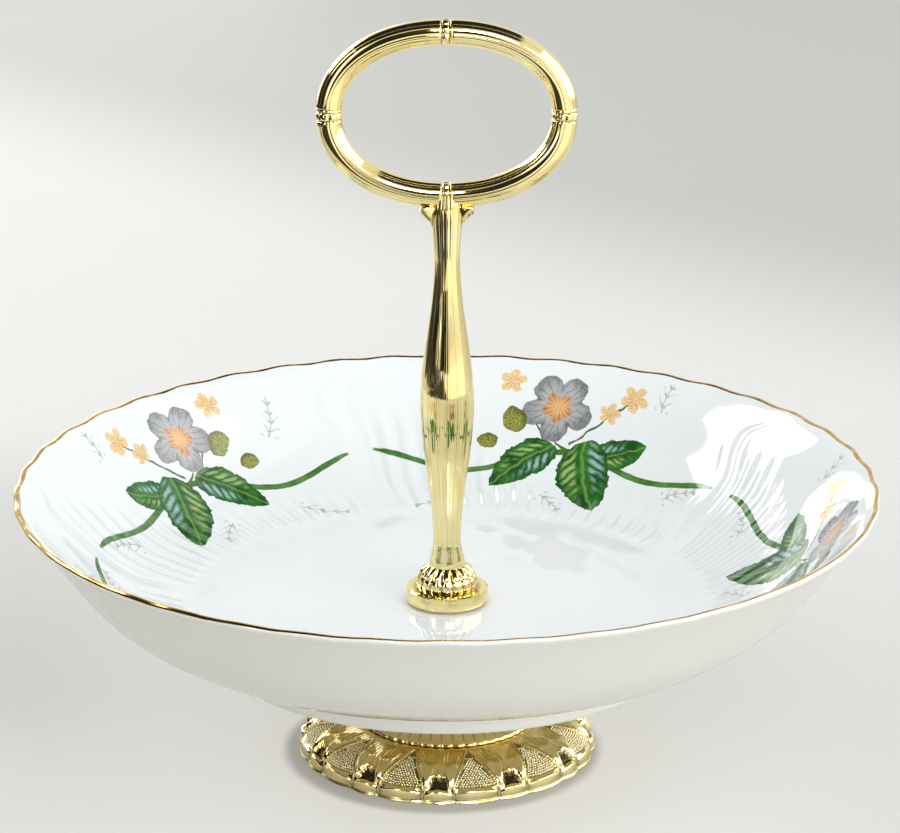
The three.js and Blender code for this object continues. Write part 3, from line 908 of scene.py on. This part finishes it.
length_mm = along_skirt(run)
down = length_mm / total_mm
on_skirt = (points[:, 2] > 0.9) & (points[:, 2] < foot_top - 0.01) & (radius > 23.9)
on_skirt &= radius > along_skirt(skirt[:, 0]) - 0.4
pair, twist = full_turn / petals, math.radians(-3.5)
from_petal = (angle - twist + pair / 2) % pair - pair / 2
side = abs(np.degrees(from_petal))
width_mm = abs(from_petal) * radius
print("skirt length", round(total_mm, 2))

# %% [markdown]
# The embossing is a height in millimetres, a sum of simple shapes in those places. It moves each
# corner square to the skirt. Last the rim is drawn in between the lobes, which gives the scallops.

# %% Foot embossing
petal_top, petal_low, lobes_at, panel_middle, scallop = 14.7, 6.2, 0.84, 15, 0.75
border = petal_top + (petal_low - petal_top) * np.clip(down / lobes_at, 0, 1)
in_petal = side < border
above_lobes = 1 - ramp(down, 0.8, lobes_at)
ridge = hill(width_mm, np.radians(border) * radius, 0.45) * ramp(down, 0.0, 0.06)
ridge *= 1 - ramp(down, lobes_at, 0.95)
leaf_width = 0.3 + 2.3 * np.clip(1 - down / 0.6, 0, 1) ** 0.7
central = np.clip(1 - width_mm / leaf_width, 0, 1) * (down < 0.62) * ramp(down, 0.0, 0.08)
ball = hill(np.hypot(width_mm, length_mm - 0.63 * total_mm), 0, 0.85) ** 0.6
inner_edge = 3.4 * np.clip((down - 0.42) / 0.36, 0, 1)
side_leaf = np.clip(np.minimum(side - inner_edge, border - side) / 1.9, 0, 1) * ramp(down, 0.3, 0.5)
side_leaf *= above_lobes
upper_leaf = np.clip(1 - abs(side - 7.2 - 9 * (0.42 - down)) / 1.8, 0, 1) * ramp(down, 0.16, 0.24)
upper_leaf *= 1 - ramp(down, 0.4, 0.52)
lobe_petal = hill(side, 0, 6.1)
lobe_panel = hill(side, panel_middle, 8.8)
lobe_width = np.maximum(lobe_petal, lobe_panel)
lobe_top = np.where(side < 6.1, 0.93 - 0.11 * lobe_petal, 0.89 - 0.07 * lobe_panel)
lobe = ramp(down, lobe_top, lobe_top + 0.045) * np.clip(lobe_width * 4, 0, 1)
below_ball = ramp(down, 0.58, 0.65) * (1 - ramp(down, lobe_top - 0.02, lobe_top + 0.01))
recess = below_ball * np.clip((inner_edge - side + 0.3) / 0.45, 0, 1) * (1 - ball)
recess *= 1 - np.clip(central * 3, 0, 1)
height = 0.5 * ridge + 0.9 * central + 0.75 * ball - 0.9 * recess
height += (side_leaf + 0.6 * upper_leaf) * in_petal
height -= 0.3 * (1 - in_petal) * above_lobes * ramp(down, 0.05, 0.2)
height *= on_skirt * (1 - lobe)
edge = np.where(side < 6, (side / 6) ** 2, ((panel_middle - side) / 9) ** 2)
draw_in = scallop * edge * ramp(radius, 30, 37.5)
new_radius = radius - height * along_skirt(skirt_way[:, 1]) - draw_in
new_radius += np.clip(lip_radius + 0.4 - draw_in - new_radius, 0, 2) * lobe * on_skirt
new_radius = np.minimum(new_radius, foot_radius - 0.12)
lay_map(foot, angle / full_turn + 0.5, np.where(on_skirt, length_mm, -5.0))
points[:, :2] *= (new_radius / radius)[:, None]
points[:, 2] = np.minimum(points[:, 2] + height * along_skirt(skirt_way[:, 0]), foot_top)
place_points(foot, points)
# Painted shade: the recesses below the balls and the gaps between the lobes are darkened.
gap = ramp(down, 0.82, 0.88) * (1 - lobe_width) ** 2
mark_hollows(foot, np.clip(recess * 1.6 + gap * 0.5, 0, 1) * on_skirt)

# %% [markdown]
# The pebbles are raised with a ball punch, one blow each. One dome is half of a small sphere. It is
# repeated in staggered rows over the twelve panels, a little off its row each time, as the hand
# leaves it.

# %% Foot pebbles
punch = {"segments": 10, "ring_count": 6, "radius": mm}
pebbles = new_piece("foot_pebbles", bpy.ops.mesh.primitive_uv_sphere_add, **punch)
enter_edit()
bpy.ops.mesh.bisect(plane_co=(0, 0, -0.1 * mm), plane_no=(0, 0, 1), clear_inner=True)
bpy.ops.object.mode_set(mode="OBJECT")
dome = points_of(pebbles)
dome_faces = [np.array(face.vertices) for face in pebbles.data.polygons]
hand = np.random.default_rng(3)
pitch, sunk, dome_height, spots = 0.73, 0.3, 0.36, []
for row, at in enumerate(np.arange(0.24 * total_mm, 0.815 * total_mm, pitch * 0.87)):
    r = np.interp(at, run, skirt[:, 0])
    half = math.radians(0.3 + 8.5 * min(at / total_mm / lobes_at, 1)) * r - 0.5
    offsets = (np.arange(-12, 13) + 0.5 * (row % 2)) * pitch
    spots += [(at, offset / r) for offset in offsets[abs(offsets) < half]]
spots = np.tile(spots, (petals, 1))
panel = np.repeat(np.arange(petals), len(spots) // petals) * pair + pair / 2 + twist
at = spots[:, 0] + hand.uniform(-0.09, 0.09, len(spots))
off_panel = spots[:, 1] + hand.uniform(-0.0025, 0.0025, len(spots))
r, z = (np.interp(at, run, skirt[:, i]) for i in (0, 1))
way_r, way_z = (np.interp(at, run, skirt_way[:, i]) for i in (0, 1))
r = r + sunk * way_z - scallop * (np.degrees(off_panel) / 9) ** 2 * ramp(r, 30, 37.5)
z = z - sunk * way_r
turned_to = panel + off_panel
out = np.c_[np.sin(turned_to), -np.cos(turned_to), 0 * turned_to]
sideways = np.c_[np.cos(turned_to), np.sin(turned_to), 0 * turned_to]
upward = np.array([0, 0, 1.0])
spot = out * r[:, None] + upward * z[:, None]
downhill = out * way_r[:, None] + upward * way_z[:, None]
normal = dome_height * (upward * way_r[:, None] - out * way_z[:, None])
size = hand.uniform(0.29, 0.33, len(spots))[:, None]
corners = [spot + size * (x * sideways + y * downhill) + h * normal for x, y, h in dome]
faces = [face * len(spots) + k for k in range(len(spots)) for face in dome_faces]
pebbles.data.clear_geometry()
pebbles.data.from_pydata(np.concatenate(corners) * mm, [], [face.tolist() for face in faces])
enter_edit()
leave_edit()
bpy.ops.object.shade_smooth()
# The pebbles get a paler gold: painted highlight.
done(pebbles, "foot", gilt("gilt_pebble_plate", 0.5, 0.05, pale=0.6))

# %% [markdown]
# The thin bright ridges beside each panel and the fan lines above each leaf are finer than the
# mesh, so they are a bump in the gilding. The ground between the pebbles and the strips beside the
# ridges are darkened in the colour as painted shade.

# %% Foot ridges and lip
foot_gilt, fine, broad, tint, hollow = plate("gilt_foot_plate")
turn_share, length = foot_gilt.place("UV")
pair_place = turn_share * petals + 0.5 - twist / pair
degrees = abs(pair_place.fraction() - 0.5) * (2 * panel_middle)
skirt_radius = 24 + length - length * length * 0.013
border = petal_top - (length / (lobes_at * total_mm)).least(1) * (petal_top - petal_low)
arc = skirt_radius * (math.pi / 180)
panel_mm = (degrees - border) * arc
ridge_line = abs(panel_mm).step(0.34, 0.05) * length.step(0.93 * total_mm, 0.86 * total_mm)
beside_ridge = abs(panel_mm).step(0.75, 0.4) * abs(panel_mm).step(0.25, 0.4) * length.step(1.5, 4)
pebbled = panel_mm.step(0.3, 0.5) * length.step(0.8, 1.4)
pebbled = pebbled * length.step(0.83 * total_mm, 0.81 * total_mm)
fan = (degrees * arc * (full_turn / 0.85)).cos() * (panel_mm + 0.5).step(0, -0.4)
fan = fan * length.step(0.5, 1.5) * length.step(0.62 * total_mm, 0.4 * total_mm)
# Painted shade between the pebbles and beside the ridges.
hollow = (hollow + pebbled * 0.7 + beside_ridge * 0.35).least(1)
tint = foot_gilt.mix(hollow * 0.95, tint, (0.03, 0.02, 0.006))
satin = length.step(0.66 * total_mm, 0.45 * total_mm) * 0.13
foot_gilt.set(Base_Color=tint, Roughness=(fine - 0.5) * 0.12 + hollow * 0.15 + satin + 0.12)
foot_gilt.relief(ridge_line * 0.28 + fan * 0.09 + fine * 0.012 + broad * 0.04)
done(foot, "foot", foot_gilt.material)

# %% [markdown]
# ## Hidden hardware
# The washers, the rod and the nut show only from below. They keep their CAD shape and get plain
# plated and soft finishes.

# %% Hidden hardware
plated = Finish("plated_steel", Metallic=1.0)
worn = plated.noise(700, 3.0)
worn_tint = plated.mix(worn, (0.5, 0.5, 0.48), (0.68, 0.68, 0.66))
plated.set(Base_Color=worn_tint, Roughness=worn * 0.2 + 0.25)
soft = Finish("soft_washer", Roughness=0.7)
soft.set(Base_Color=soft.mix(soft.noise(500), (0.62, 0.6, 0.55), (0.7, 0.68, 0.63)))
for node in ("threaded_rod", "flat_washer", "lock_washer", "nut", "lower_pad", "top_pad"):
    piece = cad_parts[node]
    piece.data.materials.clear()
    piece.data.materials.append((soft if node.endswith("pad") else plated).material)
print("hardware finished")

# %% [markdown]
# ## Table, light and camera
# The dish stands on a pale table that fills the view. Part of the table's tone is its own glow,
# painted light which keeps it pale without more light on the dish, and part is lit, which keeps the
# dish's shadow. Its tones follow the soft light and shade of the photo's background, with painted
# shade at the left, a painted lift under the dish, a painted contact shadow round the foot and a
# painted bright patch that only mirrors see. Diffuse surfaces see a plain warm paper instead.

# %% Table
table = new_piece("table", bpy.ops.mesh.primitive_plane_add, size=8, location=(0, 0, 0))
paper = Finish("table_paper", Roughness=0.75, Emission_Strength=1.0)
x, y = (part * 1000 for part in paper.place("Object"))
fibre = paper.noise(60, 3.0)
tone = paper.mix(y.step(0, 300), (0.77, 0.765, 0.735), (0.85, 0.845, 0.82))
# Painted shade on the table, left of the dish.
left_shade = x.step(-70, -130) * y.step(-30, 40) * y.step(270, 170) * 0.14
tone = paper.mix(left_shade, tone, (0, 0, 0))
tone = paper.mix((y + x).step(410, 690), tone, (0.605, 0.6, 0.565))
tone = paper.mix((fibre - 0.5) * 0.06 + 0.03, tone, (0.7, 0.69, 0.66))
mirrored_ray = paper.node("LightPath", "Is Glossy Ray")
seen = paper.node("LightPath", "Is Camera Ray").most(mirrored_ray)
# Painted light: the glow is raised under and in front of the dish, and lowered in a painted contact
# shadow round the foot.
painted_lift = abs(x).step(130, 20) * y.step(110, -20)
shade_x, shade_y = x + 1.2, y + 2.2
painted_contact_shadow = (shade_x * shade_x + shade_y * shade_y).sqrt().step(42.5, 38.5) * 0.4
glow_part = paper.mix(0.6 - painted_lift * 0.2 + painted_contact_shadow, tone, (0, 0, 0))
# A painted bright patch at the right front, seen only in mirrors.
painted_bright_patch = (x - y * 0.6).step(180, 340) * y.step(40, -60) * mirrored_ray
glow_part = paper.mix(painted_bright_patch, glow_part, (0.68, 0.66, 0.63))
lit_part = paper.mix(0.45, tone, (0, 0, 0))
bounce = (0.53, 0.5, 0.43)
paper.set(
    Base_Color=paper.mix(seen, bounce, lit_part),
    Emission_Color=paper.mix(seen, (0, 0, 0), glow_part),
)
table.data.materials.append(paper.material)

# %% [markdown]
# Two soft lamps at the front right light the dish. Nothing mirrors them: polished gilt and glaze
# show what stands around them, so they get their own surroundings in the next step.

# %% Lamps


def facing(way):
    """The rotation that turns a piece's own Z axis along a direction."""
    return Vector(way).to_track_quat("Z", "Y").to_euler()


def lamp(name, place, size, power):
    light = bpy.data.lights.new(name, "AREA")
    light.shape, light.size, light.size_y, light.energy = "RECTANGLE", size[0], size[1], power
    obj = bpy.data.objects.new(name, light)
    bpy.context.scene.collection.objects.link(obj)
    obj.location = place
    obj.rotation_euler = facing(obj.location - Vector((0, 0, 0.06)))
    obj.visible_glossy = False


lamp("front_fill", (1.05, -1.0, 0.42), (1.2, 0.6), 6.5)
lamp("key_softbox", (0.5, -0.7, 1.3), (1.0, 0.8), 3)

# %% [markdown]
# Black cards overhead, at the front and at the left give the gilt its dark bands. Glowing panels
# give the bright ones, the sparkle on the beads and the window-like light on the right wall of the
# bowl.

# %% Cards and panels
black, studio_grey = 0.004, 0.7


def screen(name, place, size, rotation, tone=0.0, glow=0.0):
    """A card that only mirrors see, black or glowing. Its edges fade to the studio's tone."""
    add = bpy.ops.mesh.primitive_plane_add
    card = new_piece(name, add, size=1, location=place, rotation=rotation)
    card.scale = (*size, 1)
    bpy.ops.object.transform_apply(location=False, rotation=False, scale=True)
    panel = Finish(name + "_cloth", Roughness=0.9, Emission_Strength=1.0)
    panel.set(Base_Color=panel.mix(panel.noise(40), [tone] * 3, [tone * 1.5] * 3))
    x, y = (part * 1000 for part in panel.place("Object"))
    fade = abs(x).step(size[0] * 500, size[0] * 455) * abs(y).step(size[1] * 500, size[1] * 455)
    panel.set(Emission_Color=panel.mix(fade, [studio_grey] * 3, (glow, glow, glow * 0.97)))
    card.data.materials.append(panel.material)
    card.visible_camera = card.visible_diffuse = card.visible_shadow = False


upright = math.radians(90)
screen("ceiling_screen", (-0.3, 0.1, 1.5), (2.4, 2.4), (0, 0, 0), black)
screen("front_screen", (-0.26, -1.2, 0.6), (0.86, 1.5), (upright, 0, 0), black)
screen("left_screen", (-1.25, -0.1, 0.7), (1.8, 1.5), (upright, 0, upright), black)
screen("front_floor_screen", (-0.482, -0.575, 0.002), (0.62, 1.1), (0, 0, math.radians(-40)), black)
screen("right_panel", (1.3, -0.2, 0.78), (1.7, 1.26), (upright, 0, upright), glow=3.2)
right_front = (upright, 0, math.radians(33))
screen("front_right_panel", (0.55, -0.84, 0.42), (0.3, 0.6), right_front, glow=2.5)
screen("left_floor_screen", (-0.95, 0.05, 0.002), (1.0, 1.7), (0, 0, 0), black)
screen("gap_panel", (-0.98, -1.15, 0.7), (0.2, 1.3), (upright, 0, math.radians(-40)), glow=4)
window_way = facing((-0.67, 0.47, 0.57))
screen("back_left_panel", (-0.67, 0.47, 0.63), (0.58, 0.34), window_way, glow=9)
screen("back_panel", (-0.36, 1.05, 0.17), (0.6, 0.32), (upright, 0, math.radians(19)), glow=4)
screen("sparkle_panel", (0.15, -1.0, 0.75), (0.44, 0.24), facing((0.12, -0.75, 0.55)), glow=25)

scene = bpy.context.scene
world = scene.world = bpy.data.worlds.new("studio")
world.use_nodes = True
sky = world.node_tree.nodes["Background"].inputs
sky["Color"].default_value, sky["Strength"].default_value = (0.98, 1.0, 1.0, 1), 0.89

# %% [markdown]
# The camera stands where the photo was taken from: eighteen degrees above the rim, most of a metre
# away, with a long lens.

# %% Camera
camera_data = bpy.data.cameras.new("camera")
camera = bpy.data.objects.new("camera", camera_data)
scene.collection.objects.link(camera)
camera.location = (0.00075, -0.7553, 0.3357)
camera.rotation_euler = (math.radians(90 - 18.088), 0, 0)
camera_data.lens, camera_data.sensor_width = 126.78, 36
scene.camera = camera
scene.view_settings.view_transform = "Standard"
